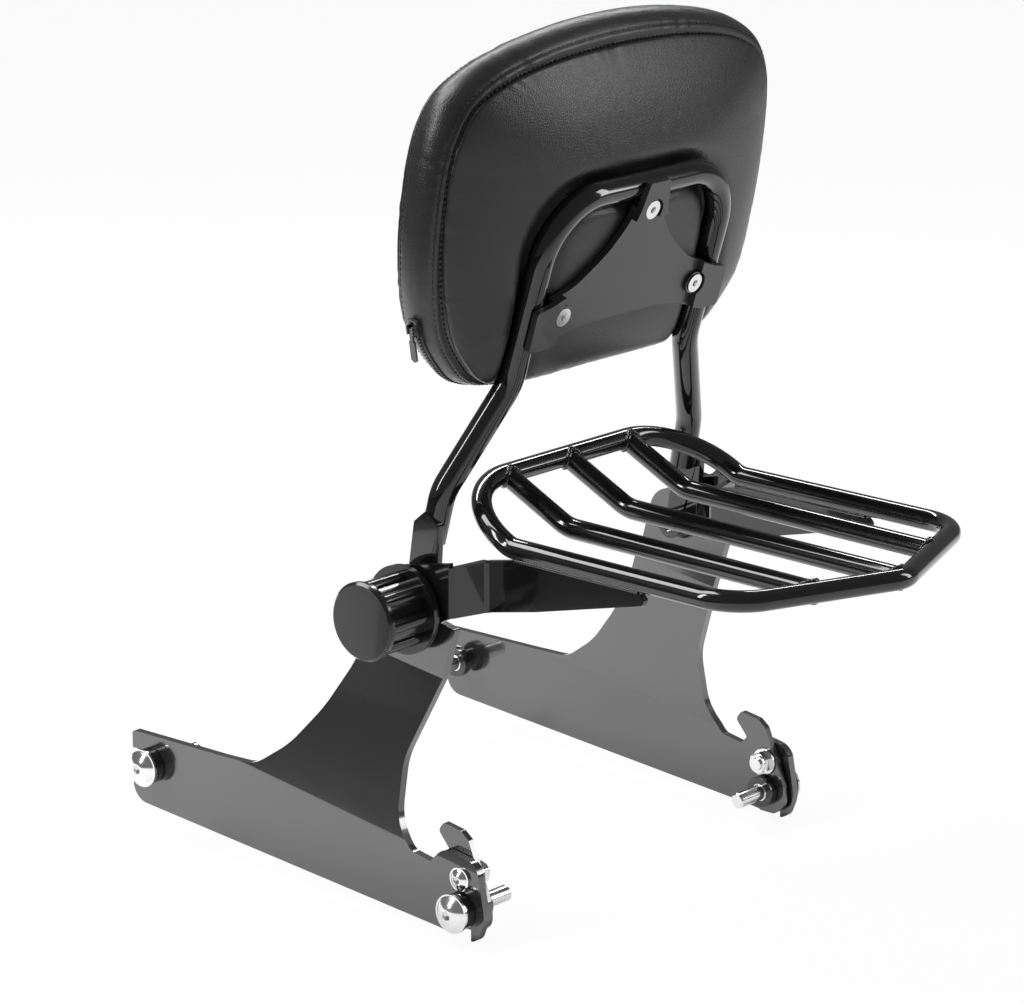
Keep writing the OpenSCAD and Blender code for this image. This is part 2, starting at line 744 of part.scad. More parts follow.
module zip_chain() {
    grow = zip_t / band_swell;
    color("#111113") difference() {
        on_pad() translate([0, (band_d + zip_w) / 2, 0]) rotate([90, 0, 0])
            linear_extrude(zip_w) difference() {
                intersection() {
                    polygon(swollen(1 + grow));
                    translate([-far, -far]) square([2 * far, far + zip_end]);
                }
                polygon(swollen(1));
            }
        // Room for the slider on the curved band
        at_slider() translate([-slider_t, -zip_w, zip_t + 0.1 - side_gap])
            cube([slider_t + slider_len + side_gap, 2 * zip_w, slider_t]);
    }
}

slider_len = 11;
slider_t = 3.4;
pin_r = 0.9;
pin_up = slider_t + 1.4;
pull_len = 23;
pull_t = 1.4;
module zip_slider() {
    color("#202022") at_slider() difference() {
        union() {
            translate([0, -zip_w / 2, zip_t + 0.1]) cube([slider_len, zip_w, slider_t - zip_t]);
            translate([2.5, -2.6, slider_t - 0.5]) cube([6, 5.2, 3.4]);
        }
        // Slot for the pull's eye
        translate([1, -1.5, slider_t - 0.2]) cube([9, 3, 4]);
        translate([5.5, 0, pin_up]) rotate([90, 0, 0]) cylinder(h = 10, r = pin_r, center = true);
    }
}

// Pull: a flat tongue whose pin turns in the slider's two ears
module zip_pull() {
    color("#202022") at_slider() translate([5.5, 0, pin_up]) {
        rotate([90, 0, 0]) cylinder(h = 5.2, r = pin_r - seat, center = true);
        translate([-1.2, -1.2, -pull_t / 2]) cube([pull_len, 2.4, pull_t]);
        translate([8, -2.2, -pull_t / 2]) cube([pull_len - 10, 4.4, pull_t]);
    }
}

// Rack: outer tube bent up at the front and swept back to a point at the rear
rack_incline = 26.8;
rack_knee = rack_front + rack_rise / tan(rack_incline);
rack_corner = rack_back - rail_x * tan(rack_sweep);
rack_front_bend = 50;
rack_knee_bend = 19;
rack_rear_bend = 32;
rack_point_bend = 20;

module rack_bar(r, w = 0) {
    path = [
        [-rail_x, -rack_front, rack_up + rack_rise], [rail_x, -rack_front, rack_up + rack_rise],
        [rail_x, -rack_knee, rack_up], [rail_x, -rack_corner, rack_up],
        [0, -rack_back, rack_up],
        [-rail_x, -rack_corner, rack_up], [-rail_x, -rack_knee, rack_up]
    ];
    bent_ring(path, [rack_front_bend, rack_front_bend, rack_knee_bend, rack_rear_bend,
        rack_point_bend, rack_rear_bend, rack_knee_bend], r, w);
}

module rack_loop() {
    color(black) at_clamp() difference() {
        rack_bar(rail_d / 2, rail_wall);
        // Vent holes on the underside, where gas leaves the tube as it is welded
        for (s = [-1, 1])
            translate([s * rail_x, -rack_corner + 60, rack_up - rail_d]) cylinder(h = rail_d, r = 2.5);
    }
}

slat_bend = 28;
module rack_slat(x) {
    // Near a front corner the slat starts where the loop's bend has got to
    past = max(0, abs(x) - rail_x + rack_front_bend);
    start = rack_front_bend - sqrt(rack_front_bend * rack_front_bend - past * past);
    point_in = rack_point_bend * (1 / cos(rack_sweep) - 1);
    tail = rack_back - abs(x) * tan(rack_sweep) - (x == 0 ? point_in : 0);
    path = [
        [x, -rack_front - start * cos(rack_incline), rack_up + rack_rise - start * sin(rack_incline)],
        [x, -rack_knee, rack_up + slat_lift],
        [x, -tail, rack_up]
    ];
    color(black) at_clamp() difference() {
        bent_bar(path, [0, slat_bend, 0], slat_d / 2, slat_wall);
        rack_bar(rail_d / 2);
    }
}

// Rack bracket: clamped plate, a step inward, and a web under the side rail
bracket_step_y = -31.6;
web_face = rail_x + bracket_t / 2;
web_start = -38.5;

module bracket_front_outline() {
    polygon(rounded([
        [18, 22, 16], [bracket_step_y, 32.7, 0], [bracket_step_y, -0.8, 0],
        [-22, -6, 14], [-8, -20, 14], [20, -19, 18]
    ]));
}

module bracket_web_outline() {
    low = rack_up - rail_d / 2;
    polygon(rounded([
        [web_start, 30.6, 0], [-60, low - 0.5, 0], [-60, rack_up, 0], [-157, rack_up, 0],
        [-157, low - 1, 0], [-163, low - 6.4, 3], [-78, 7.6, 20], [web_start, -0.8, 0]
    ]));
}

module bracket_step() {
    // Plan view of the step, extruded upward and trimmed to the bracket's height
    plan = [
        [-bracket_face, bracket_step_y + 3], [-bracket_face, bracket_step_y],
        [-bracket_face + 3, bracket_step_y - 1.6], [-web_face - 2, web_start - 0.6],
        [-web_face, web_start - 3], [-web_face + bracket_t, web_start - 3],
        [-web_face + bracket_t, web_start + 2.4], [-web_face + 3, web_start + 4.6],
        [-tab_face - 0.6, bracket_step_y + 1.6], [-tab_face, bracket_step_y + 3]
    ];
    intersection() {
        linear_extrude(60, center = true) polygon(plan);
        side_slab(web_face - 2 * bracket_t, bracket_face + 1)
            polygon([[-20, 30], [bracket_step_y, 32.7], [web_start, 30.6], [-50, 32.8],
                     [-50, 0.6], [web_start, -0.8], [bracket_step_y, -0.8], [-20, -0.8]]);
    }
}

module rack_bracket() {
    color(black) at_clamp() difference() {
        union() {
            side_slab(tab_face, bracket_face) bracket_front_outline();
            bracket_step();
            side_slab(web_face - bracket_t, web_face) bracket_web_outline();
        }
        outward(tab_face - 1, 0, 0) cylinder(h = bracket_t + 2, r = clamp_r + play);
        rack_bar(rail_d / 2);
    }
}

side_plate();  // side_plate_left
right_hand() side_plate();  // side_plate_right
latch();  // latch_left
right_hand() latch();  // latch_right
latch_bolt();  // latch_bolt_left
right_hand() latch_bolt();  // latch_bolt_right
latch_washer();  // latch_washer_left
right_hand() latch_washer();  // latch_washer_right
latch_nut();  // latch_nut_left
right_hand() latch_nut();  // latch_nut_right
dock_stud(0, 0);  // front_stud_left
right_hand() dock_stud(0, 0);  // front_stud_right
dock_bushing(0, 0);  // front_bushing_left
right_hand() dock_bushing(0, 0);  // front_bushing_right
dock_stud(-stud_back, -stud_drop);  // rear_stud_left
right_hand() dock_stud(-stud_back, -stud_drop);  // rear_stud_right
dock_bushing(-stud_back, -stud_drop);  // rear_bushing_left
right_hand() dock_bushing(-stud_back, -stud_drop);  // rear_bushing_right
knob();  // knob_left
right_hand() knob();  // knob_right
knob_stud();  // knob_stud_left
right_hand() knob_stud();  // knob_stud_right
knob_washers();  // knob_washers_left
right_hand() knob_washers();  // knob_washers_right
clamp_boss();  // clamp_boss_left
right_hand() clamp_boss();  // clamp_boss_right
leg_blade();  // leg_blade_left
right_hand() leg_blade();  // leg_blade_right
upright_tube();
pad_plate();
pad_screws();
pad_screw_cups();
pad_inserts();
pad_board();
pad();
zip_chain();
zip_slider();
zip_pull();
rack_loop();
rack_slat(-slat_pitch);  // rack_slat_left
rack_slat(0);  // rack_slat_centre
rack_slat(slat_pitch);  // rack_slat_right
rack_bracket();  // rack_bracket_left
right_hand() rack_bracket();  // rack_bracket_right
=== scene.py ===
# %% [markdown]
# # A sissy bar with its pad and luggage rack
# This lesson dresses a finished construction: bent tubes, folded plates, knobs and a sewn pad. The
# construction comes in as fixed pieces, and each cell adds one finish or one soft piece to them.
# Lengths are metres. +X is to the right as the pad faces, +Y is forward and +Z is up.

# %% Load the construction
import math

import bpy
from mathutils import Matrix, Vector, kdtree, noise


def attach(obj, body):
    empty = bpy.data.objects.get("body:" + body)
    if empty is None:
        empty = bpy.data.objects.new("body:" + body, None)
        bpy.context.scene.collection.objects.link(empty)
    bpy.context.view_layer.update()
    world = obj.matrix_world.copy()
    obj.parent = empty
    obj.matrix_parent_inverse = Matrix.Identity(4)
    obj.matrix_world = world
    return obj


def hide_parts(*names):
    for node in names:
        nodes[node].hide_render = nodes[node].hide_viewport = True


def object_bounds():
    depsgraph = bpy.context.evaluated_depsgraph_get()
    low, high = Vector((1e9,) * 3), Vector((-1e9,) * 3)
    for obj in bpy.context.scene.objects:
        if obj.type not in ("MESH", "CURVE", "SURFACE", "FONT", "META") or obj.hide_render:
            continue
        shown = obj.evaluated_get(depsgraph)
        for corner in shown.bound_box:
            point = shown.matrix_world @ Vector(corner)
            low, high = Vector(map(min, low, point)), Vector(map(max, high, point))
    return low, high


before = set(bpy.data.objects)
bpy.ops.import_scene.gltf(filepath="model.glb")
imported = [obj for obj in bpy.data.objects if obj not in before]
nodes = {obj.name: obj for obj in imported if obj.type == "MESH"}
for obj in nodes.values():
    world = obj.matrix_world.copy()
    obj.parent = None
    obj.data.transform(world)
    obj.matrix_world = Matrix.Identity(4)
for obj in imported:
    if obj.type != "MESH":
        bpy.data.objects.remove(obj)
cad_box = [list(corner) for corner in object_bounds()]
MM = 0.001
print(len(nodes), "pieces from", [round(v, 3) for v in cad_box[0]], "to", [round(v, 3) for v in cad_box[1]])

# %% [markdown]
# The view is from behind the left side with a long lens, so parallel tubes stay almost parallel.
# A camera is placed by three directions, right, up and back, which are the columns of its matrix.

# %% Camera
def add_camera(place, azimuth, elevation, lens):
    a, e = math.radians(azimuth), math.radians(elevation)
    back = Vector((math.sin(a) * math.cos(e), -math.cos(a) * math.cos(e), math.sin(e)))
    right = Vector((math.cos(a), math.sin(a), 0))
    up = back.cross(right)
    data = bpy.data.cameras.new("camera")
    data.lens, data.sensor_width, data.clip_end = lens, 36, 60
    camera = bpy.data.objects.new("camera", data)
    camera.matrix_world = Matrix((right, up, back)).transposed().to_4x4()
    camera.location = place
    bpy.context.scene.collection.objects.link(camera)
    bpy.context.scene.camera = camera
    return camera


camera = add_camera((-1.9647, -1.9452, 0.9277), -47.89, 15.93, 158.2)
bpy.context.scene.view_settings.view_transform = "Standard"
print("camera at", tuple(round(v, 3) for v in camera.location), "with a", camera.data.lens, "mm lens")

# %% [markdown]
# Shader maths reads best as a sum. This small class wraps one output of a shader node, so that
# `1 - mask` or `grain * 0.3 + dust` adds its Math nodes by itself. Any other node comes from `node`,
# which takes the settings first and then the values or links of the sockets.

# %% Shader maths
class Wire:
    def __init__(self, tree, socket=None):
        self.tree, self.socket = tree, socket

    def node(self, kind, settings=None, values=None, output=0):
        made = self.tree.nodes.new("ShaderNode" + kind)
        for name, value in (settings or {}).items():
            if name == "stops":
                ramp = made.color_ramp.elements
                for place, tone in value:
                    stop = ramp.new(place)
                    stop.color = (tone, tone, tone, 1)
                ramp.remove(ramp[0])
                ramp.remove(ramp[-1])
            else:
                setattr(made, name, value)
        for name, value in (values or {}).items():
            if isinstance(value, Wire):
                self.tree.links.new(value.socket, made.inputs[name])
            else:
                made.inputs[name].default_value = value
        return Wire(self.tree, made.outputs[output])

    def sum_of(self, operation, a, b):
        return self.node("Math", {"operation": operation}, {0: a, 1: b})

    def __add__(self, other):
        return self.sum_of("ADD", self, other)

    def __radd__(self, other):
        return self.sum_of("ADD", other, self)

    def __sub__(self, other):
        return self.sum_of("SUBTRACT", self, other)

    def __rsub__(self, other):
        return self.sum_of("SUBTRACT", other, self)

    def __mul__(self, other):
        return self.sum_of("MULTIPLY", self, other)

    def __rmul__(self, other):
        return self.sum_of("MULTIPLY", other, self)


print("shader maths ready")

# %% [markdown]
# Every finish starts the same way: one Principled shader, and the point on the object as the
# coordinate. What is the same all over is set on the shader's own sockets. What varies is linked.

# %% Start of a finish
def finish(name, **sockets):
    material = bpy.data.materials.new(name)
    material.use_nodes = True
    tree = material.node_tree
    shader = tree.nodes["Principled BSDF"]
    for socket, value in sockets.items():
        shader.inputs[socket.replace("_", " ")].default_value = value
    place = Wire(tree).node("TexCoord", output=3)
    return material, shader, place


def link(shader, **wires):
    for socket, wire in wires.items():
        wire.tree.links.new(wire.socket, shader.inputs[socket.replace("_", " ")])


def grey(tone):
    return (tone, tone, tone, 1)


def noise_at(place, scale, detail=2.0, roughness=0.5):
    values = {"Vector": place, "Scale": scale, "Detail": detail, "Roughness": roughness}
    return place.node("TexNoise", None, values)


def shade_between(mask, low, high):
    return mask.node("Mix", {"data_type": "RGBA"}, {"Factor": mask, 6: low, 7: high}, output=2)


print("helpers for finishes ready")

# %% [markdown]
# The steel is sprayed black and polished looking: a dark coat that mirrors a pale floor as mid grey and
# a dark wall as black. Two layers give that strength, a dense base and a clear coat. Real spray is
# never quite flat, so a faint orange peel bends the reflections, and a fine dust dulls them a little.

# %% Sprayed black steel
def sprayed(name, tone, base_roughness, peel, ior=1.75, coat=0.7):
    material, shader, place = finish(name, IOR=ior, Coat_Weight=coat, Coat_Roughness=0.03, Coat_IOR=1.5)
    cloud = noise_at(place, 14, 3)
    dust = noise_at(place, 420, 4, 0.65)
    tint = shade_between(cloud, grey(tone * 0.8), grey(tone * 1.25))
    rough = base_roughness + 0.05 * cloud + 0.05 * dust
    waves = noise_at(place, 240, 1.5) + 0.3 * noise_at(place, 900, 1)
    bump = place.node("Bump", None, {"Strength": peel, "Distance": 0.0003, "Height": waves})
    link(shader, Base_Color=tint, Roughness=rough, Normal=bump)
    return material


steel_plate = sprayed("sprayed_plate", 0.022, 0.12, 0.015, ior=1.9, coat=0.9)
steel_tube = sprayed("sprayed_tube", 0.007, 0.06, 0.012, ior=1.5, coat=0.6)
steel_satin = sprayed("satin_plate", 0.030, 0.30, 0.05, ior=1.6, coat=0.2)
print("three sprayed finishes")

# %% [markdown]
# The docking heads and screws are polished steel. Turning leaves rings too fine to see one by one, and
# handling leaves soft smudges, so only the roughness changes over the surface.

# %% Bright steel, brass and blackened fittings
def bright(name, tone, roughness):
    material, shader, place = finish(name, Metallic=1.0)
    smudge = noise_at(place, 90, 3)
    tint = shade_between(smudge, grey(tone * 0.86), grey(tone))
    link(shader, Base_Color=tint, Roughness=roughness + 0.14 * smudge * smudge)
    return material


polished = bright("polished_steel", 0.9, 0.12)
brass, brass_shader, brass_place = finish("turned_brass", Metallic=1.0)
turned = noise_at(brass_place, 160, 2)
link(
    brass_shader,
    Base_Color=shade_between(turned, (0.62, 0.45, 0.2, 1), (0.8, 0.62, 0.3, 1)),
    Roughness=0.25 + 0.1 * turned,
)
fitting = sprayed("black_fitting", 0.012, 0.16, 0.02, ior=1.6, coat=0.5)
print("bright steel, brass and black fittings")

# %% [markdown]
# The knobs are moulded plastic, almost as glossy as the paint. A fine spark texture, much finer than
# the ribs, scatters a little of the light.

# %% Moulded plastic and plywood
plastic, plastic_shader, plastic_place = finish("moulded_plastic", IOR=1.5, Coat_Weight=0.3)
spark = noise_at(plastic_place, 1500, 3, 0.6)
patch = noise_at(plastic_place, 30, 2)
link(
    plastic_shader,
    Base_Color=shade_between(patch, grey(0.007), grey(0.012)),
    Roughness=0.12 + 0.06 * patch + 0.04 * spark,
    Normal=spark.node("Bump", None, {"Strength": 0.03, "Distance": 0.0002, "Height": spark}),
)

plywood, plywood_shader, plywood_place = finish("plywood", Roughness=0.7)
stretched = plywood_place.node("Mapping", None, {"Vector": plywood_place, "Scale": (12, 60, 240)})
fibre = noise_at(stretched, 3, 5)
link(
    plywood_shader,
    Base_Color=shade_between(fibre, (0.42, 0.27, 0.14, 1), (0.68, 0.5, 0.3, 1)),
    Normal=fibre.node("Bump", None, {"Strength": 0.2, "Distance": 0.0005, "Height": fibre}),
)
print("plastic and plywood")

# %% [markdown]
# The cover is black vinyl with a leather grain. The grain is made of small cells with soft valleys:
# a Voronoi pattern, its edges bent by noise, with a second noise for the pores. The sheen is broad, so
# the crown of the pad goes from dark to grey without a sharp edge.

# %% Leather grain
def grained(name, tone, roughness, depth):
    material, shader, place = finish(name, IOR=1.5, Coat_Weight=0.12, Coat_Roughness=0.25)
    bend = noise_at(place, 260, 3)
    moved = place.node(
        "VectorMath", {"operation": "MULTIPLY_ADD"}, {0: bend, 1: (0.0012, 0.0012, 0.0012), 2: place}
    )
    cells = place.node("TexVoronoi", {"feature": "DISTANCE_TO_EDGE"}, {"Vector": moved, "Scale": 620})
    valley = cells.node("ValToRGB", {"stops": [(0.02, 0.0), (0.25, 1.0)]}, {"Fac": cells})
    pores = noise_at(place, 1500, 3, 0.6)
    broad = noise_at(place, 22, 4)
    tint = shade_between(broad, grey(tone * 0.85), grey(tone * 1.25))
    rough = roughness + 0.08 * broad - 0.05 * valley
    height = valley + 0.35 * pores + 0.5 * bend
    bump = place.node("Bump", None, {"Strength": depth, "Distance": 0.0004, "Height": height})
    link(shader, Base_Color=tint, Roughness=rough, Normal=bump)
    return material


vinyl = grained("black_vinyl", 0.018, 0.32, 0.2)
print("vinyl grain at 1.6 mm cells")

# %% [markdown]
# Thread and zip tape are woven: two sets of fine waves cross, and the higher one shows.

# %% Thread and zip tape
def woven(name, tone, scale, roughness=0.6):
    material, shader, place = finish(name, Sheen_Weight=0.2)
    across = place.node("TexWave", {"bands_direction": "X"}, {"Vector": place, "Scale": scale})
    along = place.node("TexWave", {"bands_direction": "Z"}, {"Vector": place, "Scale": scale})
    weave = across * along
    link(
        shader,
        Base_Color=shade_between(weave, grey(tone * 0.6), grey(tone * 1.4)),
        Roughness=roughness + 0.1 * weave,
        Normal=weave.node("Bump", None, {"Strength": 0.4, "Distance": 0.0002, "Height": weave}),
    )
    return material


thread = woven("black_thread", 0.012, 600)
tape = woven("zip_tape", 0.015, 700)
print("thread and tape")

# %% [markdown]
# The solids keep their shape. Two things make them read as real: the finish, and a small rounding on
# the cut edges, which catches a thin line of light. A bevel modifier cuts only edges sharper than a
# given angle, so the sides of a stud stay as they are. Weighted normals then keep large faces flat.

# %% Rounded edges and finishes on the solids
def dress(names, material, edge, angle=32, steps=2):
    for name in names:
        piece = nodes[name]
        piece.data.materials.clear()
        piece.data.materials.append(material)
        for face in piece.data.polygons:
            face.use_smooth = True
            face.material_index = 0
        joined = piece.modifiers.new("joined", "WELD")
        joined.merge_threshold = 0.00001
        if edge:
            bevel = piece.modifiers.new("rounded", "BEVEL")
            bevel.width, bevel.segments = edge * MM, steps
            bevel.limit_method, bevel.angle_limit = "ANGLE", math.radians(angle)
            bevel.use_clamp_overlap = True
        flat = piece.modifiers.new("flat_faces", "WEIGHTED_NORMAL")
        flat.mode, flat.weight = "FACE_AREA_WITH_ANGLE", 80
    return names


def both(*names):
    return [f"{name}_{side}" for name in names for side in ("left", "right")]


dress(both("side_plate", "latch"), steel_plate, 0.5)
dress(both("leg_blade"), steel_tube, 0.5)
dress(both("rack_bracket"), steel_tube, 0.8, angle=10, steps=3)
dress(both("clamp_boss", "knob_washers"), fitting, 0.3)
dress(both("front_bushing", "rear_bushing"), fitting, 0.5)
dress(both("front_stud", "rear_stud", "latch_bolt", "latch_nut", "latch_washer", "knob_stud"), polished, 0.25)
dress(both("knob"), plastic, 0.6, steps=3)
dress(["pad_plate"], steel_satin, 0.5)
dress(["pad_screws"], polished, 0.2)
dress(["pad_screw_cups"], fitting, 0.3)
dress(["pad_inserts"], brass, 0)
dress(["pad_board"], plywood, 0.5)
dress(["zip_slider", "zip_pull"], fitting, 0.25)
print("dressed", sum(1 for piece in nodes.values() if piece.modifiers), "solids")

# %% [markdown]
# Three directions place the backrest: it leans back, and the pad leans a little less than the tube.
# These helpers turn the maker's own lengths into points of the whole object.

# %% Places on the backrest
CLAMP = Vector((0, -206.4, 142)) * MM
LEAN, PAD_LEAN = math.radians(16.8), math.radians(16.8 - 7.4)
BACK = CLAMP + Vector((0, -45.5, 171)) * MM
SEAM = 17.3 * MM


def on_back(x, out, up):
    c, s = math.cos(LEAN), math.sin(LEAN)
    return BACK + Vector((x, out * c - up * s, out * s + up * c))


PAD_ZERO = on_back(0, SEAM, 0)


def on_pad(x, depth, up):
    c, s = math.cos(PAD_LEAN), math.sin(PAD_LEAN)
    return PAD_ZERO + Vector((x, depth * c - up * s, depth * s + up * c))


print("the pad's reference point is", tuple(round(v, 4) for v in PAD_ZERO))

# %% [markdown]
# The pad's outline is one smooth closed curve. Points at even spacing along it carry everything that
# follows: the panels, the band, the seams, the stitches and the zip.

# %% Outline of the pad
HALF, TOP, BOTTOM = 143 * MM, 152 * MM, 48.5 * MM
MID = (TOP - BOTTOM) / 2
SHAPE = [
    (0, -1), (0.37, -1), (0.58, -0.965), (0.705, -0.845), (0.79, -0.63), (0.876, -0.32), (0.928, 0),
    (0.968, 0.144), (0.993, 0.3), (1, 0.458), (0.993, 0.6), (0.963, 0.73), (0.885, 0.845),
    (0.735, 0.918), (0.545, 0.962), (0.294, 0.99), (0, 1),
]
FINE_STEPS = 40  # points between two of the outline's own


def even_outline(count):
    right = [Vector((x * HALF, z * (BOTTOM if z < 0 else TOP))) for x, z in SHAPE]
    points = right + [Vector((-p.x, p.y)) for p in reversed(right[1:-1])]
    fine = []
    for i in range(len(points)):
        a, b, c, d = (points[(i + k) % len(points)] for k in (-1, 0, 1, 2))
        square, cube = 2 * a - 5 * b + 4 * c - d, 3 * b - a - 3 * c + d
        for j in range(FINE_STEPS):
            t = j / FINE_STEPS
            fine.append(0.5 * (2 * b + (c - a) * t + square * t * t + cube * t**3))
    lengths = [0.0]
    for p, q in zip(fine, fine[1:] + fine[:1]):
        lengths.append(lengths[-1] + (q - p).length)
    total, result, k = lengths[-1], [], 0
    for i in range(count):
        wanted = total * i / count
        while lengths[k + 1] < wanted:
            k += 1
        part = (wanted - lengths[k]) / (lengths[k + 1] - lengths[k])
        result.append(fine[k].lerp(fine[(k + 1) % len(fine)], part))
    return result, total


AROUND = 480
outline, seam_length = even_outline(AROUND)
print("seam length", round(seam_length, 3), "m in", AROUND, "points")

# %% [markdown]
# The section of the pad is walked from the middle of the back, over the band, to the middle of the
# front. Near each seam the rows lie close together, so that the seam can sink in sharply. The back is
# pressed in where the tube lies against it, and is flat where the steel plate holds it.

# %% Section of the pad
BAND, CROWN_FRONT, CROWN_BACK = 33 * MM, 17 * MM, 28 * MM
HOOP_X, HOOP_TOP, HOOP_BEND = 79 * MM, 75.2 * MM, 39 * MM
TILT = math.radians(7.4)
PLATE_LEVEL, GROOVE_LEVEL = -3.9 * MM, 10.2 * MM  # where the plate lies, and how deep the tube sinks in
BLEND, GROOVE_HALF = 1.5 * MM, 10.5 * MM


def swell_at(point):
    high = max(0.0, (point.y - MID) / (TOP - MID))
    return (5 + 8 * high * high) * MM


def hoop_gap(x, up):
    side, cx, cz = abs(x), HOOP_X - HOOP_BEND, HOOP_TOP - HOOP_BEND
    if side > cx and up > cz:
        return abs(math.hypot(side - cx, up - cz) - HOOP_BEND)
    return abs(HOOP_TOP - up) if up > cz else abs(side - HOOP_X)


def pad_depth(out, up):
    return (out - SEAM - up * math.sin(TILT)) / math.cos(TILT)


def back_depth(s, x, up):
    soft = 0.42 + 0.45 * min(1.0, max(0.0, (up + 0.010) / 0.100))
    free = -CROWN_BACK * max(0.0, 1 - s * s) ** soft
    rest = pad_depth(PLATE_LEVEL, up)
    crown = rest + BLEND * math.log1p(math.exp(min(30.0, (free - rest) / BLEND)))
    bottom = pad_depth(GROOVE_LEVEL, up)
    gap = hoop_gap(x, up * math.cos(TILT) - bottom * math.sin(TILT))
    return crown + max(0.0, bottom - crown) * math.exp(-((gap / GROOVE_HALF) ** 3.2))


def front_depth(s):
    return BAND + CROWN_FRONT * max(0.0, 1 - s * s) ** 0.5


NEAR = [0.0, 0.5, 1.0, 1.6, 2.4, 3.2, 4.2, 5.5, 7.2, 9.5, 12.0]
FAR_IN = [0.965, 0.93, 0.895, 0.86, 0.82, 0.78, 0.74, 0.70, 0.66, 0.62]
FAR_IN += [0.58, 0.54, 0.5, 0.46, 0.42, 0.37, 0.31, 0.24, 0.16, 0.08]
BAND_ROWS = [0.6, 1.2, 2.0, 2.9, 3.7, 4.5, 5.4, 6.6, 8.2, 10.2, 12.4, 14.4, 16.5]
band_rows = [v * MM for v in BAND_ROWS] + [BAND - v * MM for v in reversed(BAND_ROWS[:-1])]
rows = [("back", "part", f) for f in reversed(FAR_IN)] + [("back", "near", d * MM) for d in reversed(NEAR)]
rows += [("band", "depth", d) for d in band_rows]
rows += [("front", "near", d * MM) for d in NEAR] + [("front", "part", f) for f in FAR_IN]
print(len(rows), "rows in the section")

# %% [markdown]
# Each row becomes a ring of points. Panels shrink towards the middle, and the band swells outward,
# most at the top, where the foam is thickest.

# %% Rings of the pad
def ring(kind, how, value):
    points = []
    for p in outline:
        arm = p - Vector((0, MID))
        if kind == "band":
            swell = min(1.0, math.sin(math.pi * value / BAND) ** 0.8)
            q = p + arm.normalized() * swell_at(p) * swell
            points.append(Vector((q.x, value, q.y)))
            continue
        near = 1 - NEAR[-1] * MM / arm.length
        s = 1 - value / arm.length if how == "near" else near * value
        q = Vector((0, MID)) + arm * s
        depth = back_depth(s, q.x, q.y) if kind == "back" else front_depth(s)
        points.append(Vector((q.x, depth, q.y)))
    return points


rings = [ring(*row) for row in rows]
print(len(rings) * AROUND, "points on the pad")

# %% [markdown]
# Foam under a sewn cover pushes outward between the seams. A short cloth simulation finds that shape:
# an even, coarser copy of the pad is blown up while the seams and the pressed back stay pinned. How
# far each of its points moved is then carried over to the fine rings.

# %% Mesh from rings
def skin(name, loops, low, high):
    count = len(loops[0])
    points = [p for loop in loops for p in loop] + [low, high]
    faces = []
    for r in range(len(loops) - 1):
        for i in range(count):
            j = (i + 1) % count
            faces.append((r * count + i, (r + 1) * count + i, (r + 1) * count + j, r * count + j))
    last = (len(loops) - 1) * count
    for i in range(count):
        j = (i + 1) % count
        faces.append((len(points) - 2, i, j))
        faces.append((len(points) - 1, last + j, last + i))
    mesh = bpy.data.meshes.new(name)
    mesh.from_pydata([tuple(p) for p in points], [], faces)
    mesh.validate()
    for face in mesh.polygons:
        face.use_smooth = True
    piece = bpy.data.objects.new(name, mesh)
    bpy.context.scene.collection.objects.link(piece)
    return piece


def middle(kind):
    depth = back_depth(0, 0, MID) if kind == "back" else front_depth(0)
    return Vector((0, depth, MID))


print("skin ready")

# %% [markdown]
# The simulation runs in the pad's own frame, lying still, with no gravity. Pins hold what is sewn or
# pressed, and the movement is limited, so the seams keep their place.

# %% Cloth simulation of the cover
def held(point):
    arm = Vector((point.x, point.z - MID))
    reach = min(outline, key=lambda p: (p - Vector((point.x, point.z))).length_squared)
    edge = (Vector((point.x, point.z)) - reach).length
    to_seam = min(math.hypot(edge, point.y), math.hypot(edge, point.y - BAND))
    if to_seam < 3.2 * MM:
        return 1.0
    pressed = point.y < 0 and (arm.length < 0.62 * (reach - Vector((0, MID))).length)
    return 1.0 if pressed else max(0.0, 0.6 - to_seam / (16 * MM))


def inflated(piece, pressure, cap):
    scene = bpy.context.scene
    even = piece.modifiers.new("even", "REMESH")
    even.mode, even.voxel_size = "VOXEL", 0.005
    graph = bpy.context.evaluated_depsgraph_get()
    mesh = bpy.data.meshes.new_from_object(piece.evaluated_get(graph))
    piece.modifiers.clear()
    blown = bpy.data.objects.new("cover_blown", mesh)
    scene.collection.objects.link(blown)
    start = [v.co.copy() for v in mesh.vertices]
    pins = blown.vertex_groups.new(name="pins")
    for v in mesh.vertices:
        pins.add([v.index], held(v.co), "REPLACE")
    cloth = blown.modifiers.new("cloth", "CLOTH")
    cloth.settings.quality = 6
    cloth.settings.vertex_group_mass = "pins"
    cloth.settings.use_pressure = True
    cloth.settings.uniform_pressure_force = pressure
    cloth.settings.effector_weights.gravity = 0
    for number in range(1, 21):
        scene.frame_set(number)
    graph = bpy.context.evaluated_depsgraph_get()
    moved = blown.evaluated_get(graph).to_mesh()
    shifts = []
    for a, v in zip(start, moved.vertices):
        shift = v.co - a
        if shift.length > cap:
            shift *= cap / shift.length
        shifts.append(shift)
    blown.evaluated_get(graph).to_mesh_clear()
    bpy.data.objects.remove(blown)
    scene.frame_set(1)
    return start, shifts


form = skin("cover_form", rings, middle("back"), middle("front"))
start, shifts = inflated(form, 7.0, 7 * MM)
print("largest movement", round(max(s.length for s in shifts) / MM, 1), "mm")
bpy.data.objects.remove(form)

# %% [markdown]
# The fine rings take the movement of their nearest neighbours in the simulated copy. Then come the
# marks of sewing: the cover dips along both seams and along the line of stitches beside each, small
# tucks run away from the seams at the corners, and each stitch pulls its own dimple.

